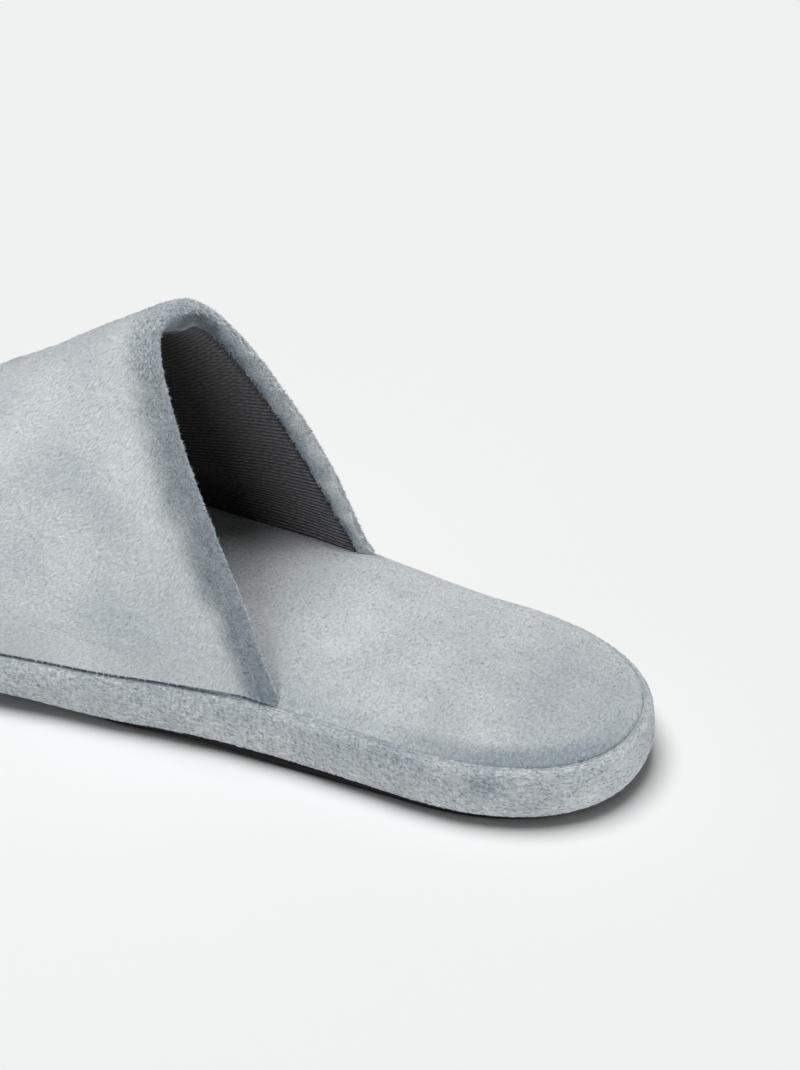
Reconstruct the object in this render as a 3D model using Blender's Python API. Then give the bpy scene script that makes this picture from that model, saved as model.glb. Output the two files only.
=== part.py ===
"""Padded velour mule slipper for the right foot, at its real size.

The slipper is sewn from four pieces: a dark outsole sheet, a foam platform wrapped in velour, a padded
velour insole, and a padded upper that is open at the heel.  Metres, +Z up, toe towards +Y, +X on the outer
side of the foot.  The origin is on the floor, under the centre of the whole slipper's box.
"""

import bmesh
import bpy
import numpy as np

MM = 0.001

# Driving sizes of the last, in millimetres.  y runs from the back of the heel to the tip of the toe.
LENGTH = 276.0
HEEL_WIDTH = 76.4
BALL_WIDTH = 101.2
HEEL_SEAT_Y = 52.0
BALL_Y = 195.0
HEEL_ROUNDNESS = 2.15
TOE_ROUNDNESS = 2.3
TOE_TIP_X = -4.0
BALL_OUTWARD = 0.9

# Half widths of the sole's outermost line between heel seat and ball, on the inner and the outer side.
SIDE_COLUMNS = ("y", "inner", "outer")
SIDE_ROWS = (
    (HEEL_SEAT_Y, HEEL_WIDTH / 2, HEEL_WIDTH / 2),
    (100.0, 38.4, 43.6),
    (150.0, 44.6, 47.6),
    (BALL_Y, BALL_WIDTH / 2 - BALL_OUTWARD, BALL_WIDTH / 2 + BALL_OUTWARD),
)

# The sole lies flat at heel and forefoot, arches a little between them and springs up at the toe.
HEEL_FLAT_END_Y = 85.0
FOREFOOT_FLAT_START_Y = 150.0
SPRING_START_Y = 212.0
ARCH_RISE = 1.2
TOE_SPRING = 5.0

# Heights above the floor where the sole is flat.
OUTSOLE_THICK = 2.5
PLATFORM_BOTTOM = 2.8
SHOULDER_TOP = 18.4
RECESS_FLOOR = 15.0
INSOLE_BOTTOM = 15.3

# Cross sections of the sole's pieces: how far in from the outermost line, and how high.  Each runs from the
# middle of the underside, round the edge, to the middle of the top.
SECTION_COLUMNS = ("inset", "height")
OUTSOLE_ROWS = (
    (9.0, 0.0),
    (3.5, 0.0),
    (3.0, 0.5),
    (3.0, 2.0),
    (3.5, OUTSOLE_THICK),
    (9.0, OUTSOLE_THICK),
)
PLATFORM_ROWS = (
    (9.0, PLATFORM_BOTTOM),
    (3.4, PLATFORM_BOTTOM),
    (1.6, 3.9),
    (0.4, 6.4),
    (0.0, 9.6),
    (0.3, 12.6),
    (1.2, 15.2),
    (2.6, 17.5),
    (4.1, SHOULDER_TOP),
    (4.9, 17.9),
    (5.1, RECESS_FLOOR),
    (9.0, RECESS_FLOOR),
)
INSOLE_ROWS = (
    (9.0, INSOLE_BOTTOM),
    (5.8, INSOLE_BOTTOM),
    (5.4, 15.8),
    (5.4, 17.4),
    (5.9, 18.5),
    (7.6, 20.0),
    (11.0, 21.0),
    (18.0, 21.7),
    (24.0, 22.0),
)

# The upper: a fan of sections that starts at the tilted collar and ends flat round the toe.  Each section has
# its feet on the sole, the inner one further back at the collar, and its top on the instep's crest, which lies
# towards the inner side.  crown and the two walls are the powers of the arch between them:
# |x / half width| ** crown + rise ** wall = 1.
UPPER_FOOT_INSET = 3.0
UPPER_FOOT_Z = 18.1
TOE_FOOT_Y = LENGTH - UPPER_FOOT_INSET
UPPER_COLUMNS = ("outer_foot", "inner_foot", "crest_x", "crest_y", "crest_z", "crown", "outer_wall", "inner_wall")
UPPER_ROWS = (
    (101.5, 95.0, -1.5, 141.0, 111.2, 2.4, 1.40, 1.40),
    (119.0, 114.0, -1.5, 166.4, 96.0, 2.3, 1.48, 1.48),
    (140.0, 136.0, -1.2, 196.0, 79.0, 2.2, 1.60, 1.60),
    (162.0, 160.0, -0.8, 227.0, 61.0, 2.1, 1.80, 1.80),
    (181.0, 180.0, -0.4, 254.0, 44.5, 2.1, 2.0, 2.0),
    (192.0, 192.0, 0.0, 268.8, 29.0, 2.15, 2.15, 2.15),
    (BALL_Y, BALL_Y, 0.0, TOE_FOOT_Y, UPPER_FOOT_Z, TOE_ROUNDNESS, TOE_ROUNDNESS, TOE_ROUNDNESS),
)

# The upper's padded wall: thicker at the rolled collar, with a step inside where the facing ends.  Its foot is
# upright and its lower edge slopes up inwards, as the insole's edge does.
WALL_THICK = 4.6
COLLAR_THICK = 6.4
FACING_START = 0.5
FACING_END = 2.5
FOOT_STRIP_SLOPE = 0.53
FOOT_BLEND_HEIGHT = 22.0
PUFF_OUT = 1.6
PUFF_HEIGHT = 26.0
PUFF_FULL_AT = 0.3
ROLL_ANGLES_DEG = (80.0, 55.0, 28.0)

# How finely the lofts are divided.
HEEL_STEPS = 12
SIDE_STEPS = 16
TOE_STEPS = 14
ARCH_STEPS = 40
COLLAR_STATIONS_MM = (0.0, 0.8, 1.6, 2.5)
BODY_STATIONS = 24
LAST_NORMAL_AT = 0.985
DIFFERENCE_STEP = 0.001

MATERIALS = {
    "outsole": ("outsole_rubber", (0.035, 0.037, 0.042), 0.75),
    "sole_platform": ("wrap_velour", (0.42, 0.46, 0.49), 0.95),
    "insole": ("insole_velour", (0.49, 0.53, 0.55), 0.95),
    "upper": ("upper_velour", (0.46, 0.50, 0.52), 0.95),
}


def column(rows, columns, name):
    """Return one named column of a table as an array."""
    return np.array([row[columns.index(name)] for row in rows])


def smooth_through(knots, values, at, flat_ends=False):
    """Return a smooth curve through a table's values: Hermite pieces with the slopes of its neighbours."""
    slopes = np.gradient(values, knots)
    if flat_ends:
        slopes[[0, -1]] = 0.0
    low = np.clip(np.searchsorted(knots, at, side="right") - 1, 0, len(knots) - 2)
    span = knots[low + 1] - knots[low]
    t = (at - knots[low]) / span
    from_low = values[low] * (1 + 2 * t) * (1 - t) ** 2 + slopes[low] * span * t * (1 - t) ** 2
    from_high = values[low + 1] * t * t * (3 - 2 * t) - slopes[low + 1] * span * t * t * (1 - t)
    return from_low + from_high


def ease(value, start, end):
    """Rise smoothly from 0 at start to 1 at end."""
    t = np.clip((value - start) / (end - start), 0.0, 1.0)
    return t * t * (3 - 2 * t)


def half_width(y, side):
    """Return the outermost line's half width at y: a heel arc, a smooth waist and a toe arc."""
    knots = column(SIDE_ROWS, SIDE_COLUMNS, "y")
    widths = column(SIDE_ROWS, SIDE_COLUMNS, side)
    from_seat = np.clip(1 - y / HEEL_SEAT_Y, 0.0, 1.0)
    heel = widths[0] * (1 - from_seat**HEEL_ROUNDNESS) ** (1 / HEEL_ROUNDNESS)
    waist = smooth_through(knots, widths, np.clip(y, HEEL_SEAT_Y, BALL_Y), flat_ends=True)
    past_ball = np.clip((y - BALL_Y) / (LENGTH - BALL_Y), 0.0, 1.0)
    toe = widths[-1] * (1 - past_ball**TOE_ROUNDNESS) ** (1 / TOE_ROUNDNESS)
    return np.where(y < HEEL_SEAT_Y, heel, np.where(y > BALL_Y, toe, waist))


def spine_x(y):
    """Return how far the middle line has turned towards the big toe at y."""
    return TOE_TIP_X * np.clip((y - BALL_Y) / (LENGTH - BALL_Y), 0.0, 1.0) ** 2


def floor_rise(y):
    """Return how far the whole sole lifts off the floor at y: arch, then toe spring."""
    in_arch = np.clip((y - HEEL_FLAT_END_Y) / (FOREFOOT_FLAT_START_Y - HEEL_FLAT_END_Y), 0.0, 1.0)
    in_spring = np.clip((y - SPRING_START_Y) / (LENGTH - SPRING_START_Y), 0.0, 1.0)
    return ARCH_RISE * np.sin(np.pi * in_arch) ** 2 + TOE_SPRING * in_spring**2


def outline(inset):
    """Return the sole's outline moved inwards, up the outer side and back down the inner side."""
    quarter = np.linspace(0.0, np.pi / 2, HEEL_STEPS + 1)
    heel_y = HEEL_SEAT_Y * (1 - np.cos(quarter) ** (2 / HEEL_ROUNDNESS))
    side_y = np.linspace(HEEL_SEAT_Y, BALL_Y, SIDE_STEPS + 1)[1:]
    toe_quarter = np.linspace(0.0, np.pi / 2, TOE_STEPS + 1)[1:]
    toe_y = BALL_Y + (LENGTH - BALL_Y) * np.sin(toe_quarter) ** (2 / TOE_ROUNDNESS)
    y = np.concatenate([heel_y, side_y, toe_y])
    outer = np.stack([spine_x(y) + half_width(y, "outer"), y], axis=1)
    inner = np.stack([spine_x(y) - half_width(y, "inner"), y], axis=1)
    ring = np.concatenate([outer, inner[-2:0:-1]])
    along = np.roll(ring, -1, axis=0) - np.roll(ring, 1, axis=0)
    along /= np.linalg.norm(along, axis=1, keepdims=True)
    outward = np.stack([along[:, 1], -along[:, 0]], axis=1)
    return ring - inset * outward


def sole_rings(rows):
    """Return a ring of points for each row of a sole piece's cross section."""
    insets = column(rows, SECTION_COLUMNS, "inset")
    heights = column(rows, SECTION_COLUMNS, "height")
    rings = []
    for inset, height in zip(insets, heights):
        flat = outline(inset)
        rings.append(np.column_stack([flat, height + floor_rise(flat[:, 1])]))
    return rings


def upper_outside(station, angle):
    """Return points of the upper's outer face.

    station runs from 0 at the collar to 1 at the toe; angle runs from 0 at the outer foot of the section, over
    the crest, to pi at the inner foot.  Away from the collar the wall puffs out a little above its sewn foot.
    """
    knots = np.linspace(0.0, 1.0, len(UPPER_ROWS))
    row = {
        name: smooth_through(knots, column(UPPER_ROWS, UPPER_COLUMNS, name), station) for name in UPPER_COLUMNS
    }
    across = np.cos(angle)
    on_outer = across >= 0
    foot_y = np.where(on_outer, row["outer_foot"], row["inner_foot"])
    width = np.where(on_outer, half_width(foot_y, "outer"), half_width(foot_y, "inner"))
    wall = np.where(on_outer, row["outer_wall"], row["inner_wall"])
    rise = np.clip(np.sin(angle), 0.0, 1.0) ** (2 / wall)
    y = foot_y + rise * (row["crest_y"] - foot_y)
    height = rise * (row["crest_z"] - UPPER_FOOT_Z)
    puff = PUFF_OUT * ease(station, 0.0, PUFF_FULL_AT)
    puff = puff * np.sin(np.pi * np.clip(height / PUFF_HEIGHT, 0.0, 1.0)) ** 2
    reach = (width - UPPER_FOOT_INSET + puff) * np.abs(across) ** (2 / row["crown"])
    x = np.where(on_outer, reach, -reach) + rise * row["crest_x"] + spine_x(y)
    return np.stack([x, y, UPPER_FOOT_Z + height + floor_rise(y)], axis=-1)


def upper_directions(station, angle):
    """Return the outer face's normal and the direction back towards the collar, at each point."""
    near = np.clip(station, DIFFERENCE_STEP, LAST_NORMAL_AT)
    step = DIFFERENCE_STEP
    forward = upper_outside(near + step, angle) - upper_outside(near - step, angle)
    low = np.clip(angle - step, 0.0, np.pi)
    high = np.clip(angle + step, 0.0, np.pi)
    over = upper_outside(near, high) - upper_outside(near, low)
    normal = np.cross(forward, over)
    normal /= np.linalg.norm(normal, axis=-1, keepdims=True)
    back = -forward / np.linalg.norm(forward, axis=-1, keepdims=True)
    return normal, back


def upper_rings():
    """Return the upper's rings from collar to toe: over the outer face, then back along the inner face."""
    angle = np.linspace(0.0, np.pi, ARCH_STEPS + 1)
    crest = upper_outside(np.array([0.0, 0.01]), np.full(2, np.pi / 2))
    mm_per_station = np.linalg.norm(crest[1] - crest[0]) / 0.01
    collar = np.array(COLLAR_STATIONS_MM) / mm_per_station
    body = np.linspace(collar[-1], 1.0, BODY_STATIONS + 1)[1:]
    rings = []
    for station in np.concatenate([collar, body]):
        stations = np.full_like(angle, station)
        outside = upper_outside(stations, angle)
        normal, back = upper_directions(stations, angle)
        from_collar = station * mm_per_station
        thick = COLLAR_THICK + (WALL_THICK - COLLAR_THICK) * ease(from_collar, FACING_START, FACING_END)
        height = outside[:, 2] - UPPER_FOOT_Z - floor_rise(outside[:, 1])
        off_foot = ease(height, 0.0, FOOT_BLEND_HEIGHT)
        normal[:, 2] *= off_foot
        normal /= np.linalg.norm(normal, axis=1, keepdims=True)
        inside = outside - thick * normal
        inside[:, 2] += FOOT_STRIP_SLOPE * thick * (1 - off_foot)
        if station == 0.0:
            middle = (outside + inside) / 2
            outward = (outside - inside) / 2
            for roll in np.radians(ROLL_ANGLES_DEG):
                tip = middle + np.sin(roll) * COLLAR_THICK / 2 * back
                side = np.cos(roll) * outward
                rings.append(np.concatenate([tip + side, (tip - side)[::-1]]))
        rings.append(np.concatenate([outside, inside[::-1]]))
    return rings


def loft(name, rings, cap_strips):
    """Build one closed body through rings of equal count and return its object.

    A sole piece's rings run up one side and down the other, so a cap joins each point to its partner across
    the foot.  The upper's rings run over and back, so there the same pairs close the wall's thickness.
    """
    count = len(rings[0])
    mesh_points = np.concatenate(rings) - np.array([BALL_OUTWARD, LENGTH / 2, 0.0])
    shape = bmesh.new()
    verts = [shape.verts.new(point) for point in mesh_points * MM]
    for low in range(0, len(verts) - count, count):
        for i in range(count):
            j = (i + 1) % count
            shape.faces.new((verts[low + i], verts[low + j], verts[low + count + j], verts[low + count + i]))
    for start in (0, len(verts) - count):
        for corners in cap_strips(count):
            shape.faces.new([verts[start + corner] for corner in dict.fromkeys(corners)])
    bmesh.ops.recalc_face_normals(shape, faces=shape.faces)
    mesh = bpy.data.meshes.new(name)
    shape.to_mesh(mesh)
    shape.free()
    mesh.shade_smooth()
    return bpy.data.objects.new(name, mesh)


def across_foot(count):
    """Return the corners of the strips that cap a sole ring, from the heel to the toe."""
    return [(i, i + 1, (count - i - 1) % count, (count - i) % count) for i in range(count // 2)]


def across_wall(count):
    """Return the corners of the strips that join the upper's outer face to its inner face."""
    return [(i, i + 1, count - i - 2, count - i - 1) for i in range(count // 2 - 1)]


def paint(thing, slot, color, roughness):
    """Give an object its own plain material."""
    material = bpy.data.materials.new(slot)
    material.use_nodes = True
    shader = material.node_tree.nodes["Principled BSDF"]
    shader.inputs["Base Color"].default_value = (*color, 1.0)
    shader.inputs["Roughness"].default_value = roughness
    shader.inputs["Metallic"].default_value = 0.0
    material.diffuse_color = (*color, 1.0)
    thing.data.materials.append(material)


def build():
    """Build the four pieces in a collection of their own."""
    for old in list(bpy.data.objects):
        bpy.data.objects.remove(old, do_unlink=True)
    collection = bpy.data.collections.new("slipper")
    bpy.context.scene.collection.children.link(collection)
    pieces = [
        loft("outsole", sole_rings(OUTSOLE_ROWS), across_foot),
        loft("sole_platform", sole_rings(PLATFORM_ROWS), across_foot),
        loft("insole", sole_rings(INSOLE_ROWS), across_foot),
        loft("upper", upper_rings(), across_wall),
    ]
    for piece in pieces:
        collection.objects.link(piece)
        paint(piece, *MATERIALS[piece.name])


build()
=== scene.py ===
# %% [markdown]
# # A padded velour slipper
# This lesson dresses the four solids of an open-backed house slipper: outsole, wrapped platform, insole and
# upper.  The solids give the shape and the size.  Here each one gets the cloth that the photo shows: a
# short blue-grey velour outside and a ribbed charcoal lining inside.

import math

import bpy
import numpy as np
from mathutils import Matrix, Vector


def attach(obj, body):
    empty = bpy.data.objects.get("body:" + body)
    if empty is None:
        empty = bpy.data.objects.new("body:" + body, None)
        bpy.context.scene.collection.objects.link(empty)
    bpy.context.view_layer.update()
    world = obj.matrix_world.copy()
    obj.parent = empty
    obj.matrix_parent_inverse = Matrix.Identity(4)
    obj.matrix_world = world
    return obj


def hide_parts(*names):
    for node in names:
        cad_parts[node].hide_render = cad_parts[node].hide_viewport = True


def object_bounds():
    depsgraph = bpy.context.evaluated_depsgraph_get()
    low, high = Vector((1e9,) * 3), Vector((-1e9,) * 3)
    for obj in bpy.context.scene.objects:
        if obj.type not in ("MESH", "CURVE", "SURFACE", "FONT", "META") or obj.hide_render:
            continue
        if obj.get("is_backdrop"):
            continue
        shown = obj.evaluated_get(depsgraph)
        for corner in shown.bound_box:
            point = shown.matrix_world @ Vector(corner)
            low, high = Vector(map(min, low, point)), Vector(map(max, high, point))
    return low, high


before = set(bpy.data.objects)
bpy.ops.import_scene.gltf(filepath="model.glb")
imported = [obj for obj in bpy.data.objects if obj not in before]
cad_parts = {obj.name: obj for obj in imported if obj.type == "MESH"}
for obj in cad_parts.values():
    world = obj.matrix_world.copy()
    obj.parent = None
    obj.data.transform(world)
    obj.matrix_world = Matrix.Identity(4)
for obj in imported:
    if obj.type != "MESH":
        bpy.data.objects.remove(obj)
cad_low, cad_high = (list(corner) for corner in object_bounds())
MM = 0.001
LENGTH = (cad_high[1] - cad_low[1]) / MM
print("solids:", sorted(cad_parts), "length", round(LENGTH, 1), "mm")

# %% [markdown]
# ## The camera
# The photo looks down at the inner side of a right shoe, from behind.  A camera could be placed by eye, but
# here its distance, heading and pitch were fitted to the sole's outline, so the picture's framing follows.
# The toe runs out of the picture on the left, as it does in the photo.

# %% Camera
IMAGE_WIDTH = 800.0
FOCAL_PIXELS = 2200.0
SENSOR_WIDTH = 36.0
CAMERA_HEADING = math.radians(205.05)
CAMERA_PITCH = math.radians(34.62)
CAMERA_DISTANCE = 0.6467
CAMERA_TARGET = np.array([0.0500, -0.0425, 0.0200])
CLIP_START = 0.01

towards_camera = np.array(
    [
        math.cos(CAMERA_PITCH) * math.cos(CAMERA_HEADING),
        math.cos(CAMERA_PITCH) * math.sin(CAMERA_HEADING),
        math.sin(CAMERA_PITCH),
    ]
)
camera_data = bpy.data.cameras.new("photo_camera")
camera_data.sensor_fit = "HORIZONTAL"
camera_data.sensor_width = SENSOR_WIDTH
camera_data.lens = FOCAL_PIXELS / IMAGE_WIDTH * SENSOR_WIDTH
camera_data.clip_start = CLIP_START
camera = bpy.data.objects.new("photo_camera", camera_data)
camera.location = CAMERA_TARGET + CAMERA_DISTANCE * towards_camera
camera.rotation_euler = (math.pi / 2 - CAMERA_PITCH, 0.0, CAMERA_HEADING + math.pi / 2)
bpy.context.scene.collection.objects.link(camera)
bpy.context.scene.camera = camera
print("lens", round(camera_data.lens, 1), "mm, at", [round(v, 3) for v in camera.location])

# %% [markdown]
# ## Light
# The photo is high key: a pale floor lit evenly from edge to edge by one broad soft light high above, with
# weaker fills low on the near side and behind the heel.  Area lights fall off across the floor, so far
# lights with a wide disc are used here, which keep the floor even and still give soft shadows.

# %% Light
WORLD_COLOR = (1.0, 0.97, 0.92)
WORLD_STRENGTH = 0.12
LAMP_COLOR = (0.99, 0.995, 1.0)
LIGHT_COLUMNS = ("name", "place", "disc_degrees", "strength")
LIGHT_ROWS = (
    ("soft_box", (-0.08, 0.45, 2.20), 37.0, 2.78),
    ("near_fill", (-1.72, -0.48, 0.63), 22.0, 2.05),
    ("heel_fill", (0.70, -1.60, 0.50), 30.0, 1.80),
)

for row in LIGHT_ROWS:
    light = dict(zip(LIGHT_COLUMNS, row))
    lamp = bpy.data.lights.new(light["name"], "SUN")
    lamp.angle = math.radians(light["disc_degrees"])
    lamp.energy = light["strength"]
    lamp.color = LAMP_COLOR
    stand = bpy.data.objects.new(light["name"], lamp)
    x, y, z = light["place"]
    stand.location = (x, y, z)
    stand.rotation_euler = (math.atan2(math.hypot(x, y), z), 0.0, math.atan2(x, -y))
    bpy.context.scene.collection.objects.link(stand)

world = bpy.data.worlds.new("white_room")
world.use_nodes = True
world.node_tree.nodes["Background"].inputs["Color"].default_value = (*WORLD_COLOR, 1.0)
world.node_tree.nodes["Background"].inputs["Strength"].default_value = WORLD_STRENGTH
bpy.context.scene.world = world
bpy.context.scene.view_settings.view_transform = "Standard"
print("lights:", [row[0] for row in LIGHT_ROWS])

# %% [markdown]
# ## The last's own formulas
# The cloth has to lie on the solids, so the same few functions that shaped them are stated again here, with
# the same sizes in millimetres.  A scan or a sculpt could be wrapped instead, but formulas can be sampled
# as finely as the cloth needs.

# %% Outline of the sole
HEEL_WIDTH = 76.4
BALL_WIDTH = 101.2
HEEL_SEAT_Y = 52.0
BALL_Y = 195.0
HEEL_ROUNDNESS = 2.15
TOE_ROUNDNESS = 2.3
TOE_TIP_X = -4.0
BALL_OUTWARD = 0.9
SIDE_COLUMNS = ("y", "inner", "outer")
SIDE_ROWS = (
    (HEEL_SEAT_Y, HEEL_WIDTH / 2, HEEL_WIDTH / 2),
    (100.0, 38.4, 43.6),
    (150.0, 44.6, 47.6),
    (BALL_Y, BALL_WIDTH / 2 - BALL_OUTWARD, BALL_WIDTH / 2 + BALL_OUTWARD),
)
HEEL_FLAT_END_Y = 85.0
FOREFOOT_FLAT_START_Y = 150.0
SPRING_START_Y = 212.0
ARCH_RISE = 1.2
TOE_SPRING = 5.0


def column(rows, columns, name):
    """Return one named column of a table as an array."""
    return np.array([row[columns.index(name)] for row in rows])


def smooth_through(knots, values, at, flat_ends=False):
    """Hermite pieces through a table's values, each with the slopes of its neighbours."""
    slopes = np.gradient(values, knots)
    if flat_ends:
        slopes[[0, -1]] = 0.0
    low = np.clip(np.searchsorted(knots, at, side="right") - 1, 0, len(knots) - 2)
    span = knots[low + 1] - knots[low]
    t = (at - knots[low]) / span
    from_low = values[low] * (1 + 2 * t) * (1 - t) ** 2 + slopes[low] * span * t * (1 - t) ** 2
    from_high = values[low + 1] * t * t * (3 - 2 * t) - slopes[low + 1] * span * t * t * (1 - t)
    return from_low + from_high


def ease(value, start, end):
    """Rise smoothly from 0 at start to 1 at end: 3 t squared minus 2 t cubed."""
    t = np.clip((value - start) / (end - start), 0.0, 1.0)
    return t * t * (3 - 2 * t)


def hump(value, start, end):
    """Rise from 0 at start to 1 halfway and sink to 0 at end: the sine of half a turn, squared."""
    return np.sin(np.pi * np.clip((value - start) / (end - start), 0.0, 1.0)) ** 2


def bell(value, middle, reach):
    """One at middle and falling off either side: exp of minus the squared distance over reach."""
    return np.exp(-(((value - middle) / reach) ** 2))


def half_width(y, side):
    """Half width of the outermost line at y: a superellipse heel, a smooth waist, a superellipse toe."""
    knots = column(SIDE_ROWS, SIDE_COLUMNS, "y")
    widths = column(SIDE_ROWS, SIDE_COLUMNS, side)
    from_seat = np.clip(1 - y / HEEL_SEAT_Y, 0.0, 1.0)
    heel = widths[0] * (1 - from_seat**HEEL_ROUNDNESS) ** (1 / HEEL_ROUNDNESS)
    waist = smooth_through(knots, widths, np.clip(y, HEEL_SEAT_Y, BALL_Y), flat_ends=True)
    past_ball = np.clip((y - BALL_Y) / (LENGTH - BALL_Y), 0.0, 1.0)
    toe = widths[-1] * (1 - past_ball**TOE_ROUNDNESS) ** (1 / TOE_ROUNDNESS)
    return np.where(y < HEEL_SEAT_Y, heel, np.where(y > BALL_Y, toe, waist))


def spine_x(y):
    """How far the middle line has turned towards the big toe at y: a parabola past the ball."""
    return TOE_TIP_X * np.clip((y - BALL_Y) / (LENGTH - BALL_Y), 0.0, 1.0) ** 2


def floor_rise(y):
    """How far the sole lifts off the floor at y: a sine-squared arch, then a parabolic toe spring."""
    arch = ARCH_RISE * hump(y, HEEL_FLAT_END_Y, FOREFOOT_FLAT_START_Y)
    in_spring = np.clip((y - SPRING_START_Y) / (LENGTH - SPRING_START_Y), 0.0, 1.0)
    return arch + TOE_SPRING * in_spring**2


def outline(heel_steps, side_steps, toe_steps):
    """The sole's outline as a ring up the outer side and down the inner side, with its outward normals."""
    quarter = np.linspace(0.0, np.pi / 2, heel_steps + 1)
    heel_y = HEEL_SEAT_Y * (1 - np.cos(quarter) ** (2 / HEEL_ROUNDNESS))
    side_y = np.linspace(HEEL_SEAT_Y, BALL_Y, side_steps + 1)[1:]
    toe_quarter = np.linspace(0.0, np.pi / 2, toe_steps + 1)[1:]
    toe_y = BALL_Y + (LENGTH - BALL_Y) * np.sin(toe_quarter) ** (2 / TOE_ROUNDNESS)
    y = np.concatenate([heel_y, side_y, toe_y])
    outer = np.stack([spine_x(y) + half_width(y, "outer"), y], axis=1)
    inner = np.stack([spine_x(y) - half_width(y, "inner"), y], axis=1)
    ring = np.concatenate([outer, inner[-2:0:-1]])
    along = np.roll(ring, -1, axis=0) - np.roll(ring, 1, axis=0)
    along /= np.linalg.norm(along, axis=1, keepdims=True)
    return ring, np.stack([along[:, 1], -along[:, 0]], axis=1)


OUTLINE_STEPS = (60, 100, 60)
sole_ring, sole_outward = outline(*OUTLINE_STEPS)
print("sole outline:", len(sole_ring), "points, width", round(np.ptp(sole_ring[:, 0]), 1), "mm")

# %% Surface of the upper
UPPER_FOOT_INSET = 3.0
UPPER_FOOT_Z = 18.1
TOE_FOOT_Y = LENGTH - UPPER_FOOT_INSET
UPPER_COLUMNS = ("outer_foot", "inner_foot", "crest_x", "crest_y", "crest_z", "crown", "wall")
UPPER_ROWS = (
    (101.5, 95.0, -1.5, 141.0, 111.2, 2.4, 1.40),
    (119.0, 114.0, -1.5, 166.4, 96.0, 2.3, 1.48),
    (140.0, 136.0, -1.2, 196.0, 79.0, 2.2, 1.60),
    (162.0, 160.0, -0.8, 227.0, 61.0, 2.1, 1.80),
    (181.0, 180.0, -0.4, 254.0, 44.5, 2.1, 2.0),
    (192.0, 192.0, 0.0, 268.8, 29.0, 2.15, 2.15),
    (BALL_Y, BALL_Y, 0.0, TOE_FOOT_Y, UPPER_FOOT_Z, TOE_ROUNDNESS, TOE_ROUNDNESS),
)
WALL_THICK = 4.6
COLLAR_THICK = 4.2
FACING_START = 0.0
FACING_END = 4.0
FOLD_THICK = 4.1
FOLD_ANGLE = 1.45
FOLD_REACH = 0.19
FOLD_ALONG = 10.0
FOOT_STRIP_SLOPE = 0.38
FOOT_BLEND_HEIGHT = 22.0
PUFF_OUT = 1.6
PUFF_HEIGHT = 26.0
PUFF_FULL_AT = 0.3
LAST_NORMAL_AT = 0.985
DIFFERENCE_STEP = 0.001
SHORTEST = 1e-12
CREST_STEP = 0.01


def upper_outside(station, angle):
    """Outer face of the upper's solid: |x / half width| ** crown + rise ** wall = 1, in a fan of sections.

    station runs from 0 at the collar to 1 at the toe, angle from 0 at the outer foot to pi at the inner one.
    """
    knots = np.linspace(0.0, 1.0, len(UPPER_ROWS))
    tables = {name: column(UPPER_ROWS, UPPER_COLUMNS, name) for name in UPPER_COLUMNS}
    row = {name: smooth_through(knots, table, station) for name, table in tables.items()}
    across = np.cos(angle)
    on_outer = across >= 0
    foot_y = np.where(on_outer, row["outer_foot"], row["inner_foot"])
    width = np.where(on_outer, half_width(foot_y, "outer"), half_width(foot_y, "inner"))
    rise = np.clip(np.sin(angle), 0.0, 1.0) ** (2 / row["wall"])
    y = foot_y + rise * (row["crest_y"] - foot_y)
    height = rise * (row["crest_z"] - UPPER_FOOT_Z)
    puff = PUFF_OUT * ease(station, 0.0, PUFF_FULL_AT) * hump(height, 0.0, PUFF_HEIGHT)
    reach = (width - UPPER_FOOT_INSET + puff) * np.abs(across) ** (2 / row["crown"])
    x = np.where(on_outer, reach, -reach) + rise * row["crest_x"] + spine_x(y)
    return np.stack([x, y, UPPER_FOOT_Z + height + floor_rise(y)], axis=-1)


def unit(vectors):
    """The vectors at length one."""
    return vectors / np.maximum(np.linalg.norm(vectors, axis=-1, keepdims=True), SHORTEST)


def upper_directions(station, angle):
    """Normal of the outer face and the direction back to the collar, from small differences."""
    near = np.clip(station, DIFFERENCE_STEP, LAST_NORMAL_AT)
    forward = upper_outside(near + DIFFERENCE_STEP, angle) - upper_outside(near - DIFFERENCE_STEP, angle)
    low = np.clip(angle - DIFFERENCE_STEP, 0.0, np.pi)
    high = np.clip(angle + DIFFERENCE_STEP, 0.0, np.pi)
    over = upper_outside(near, high) - upper_outside(near, low)
    return unit(np.cross(forward, over)), unit(-forward)


crest_start = upper_outside(np.array([0.0, CREST_STEP]), np.full(2, np.pi / 2))
MM_PER_STATION = np.linalg.norm(crest_start[1] - crest_start[0]) / CREST_STEP
print("one unit of station is", round(MM_PER_STATION, 1), "mm along the crest")

# %% [markdown]
# ## From arrays to meshes
# Every piece below is a stack of rings with equal counts, so one helper turns rings into a closed body.
# The faces are index arrays, which foreach_set copies in one go.  Values and a cloth map in metres are
# stored at each point for the materials, so that grain keeps its size all over a piece.

# %% Mesh helpers
NOISE_WAVES = 9
NOISE_SPREAD = (0.7, 1.4)


def to_world(points):
    """Millimetres from the heel to metres from the part's origin."""
    return (points - np.array([BALL_OUTWARD, LENGTH / 2, 0.0])) * MM


def across_foot(count):
    """Strips that cap a sole ring from heel to toe: each joins two points to their partners across."""
    i = np.arange(1, count // 2 - 1)
    quads = np.stack([i, i + 1, count - i - 1, count - i], axis=1)
    tips = np.array([[0, 1, count - 1], [count // 2 - 1, count // 2, count // 2 + 1]])
    return quads, tips


def across_wall(count):
    """Strips that join the outer half of a ring to the inner half, which runs back beneath it."""
    i = np.arange(count // 2 - 1)
    return np.stack([i, i + 1, count - i - 2, count - i - 1], axis=1), np.empty((0, 3), int)


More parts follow.
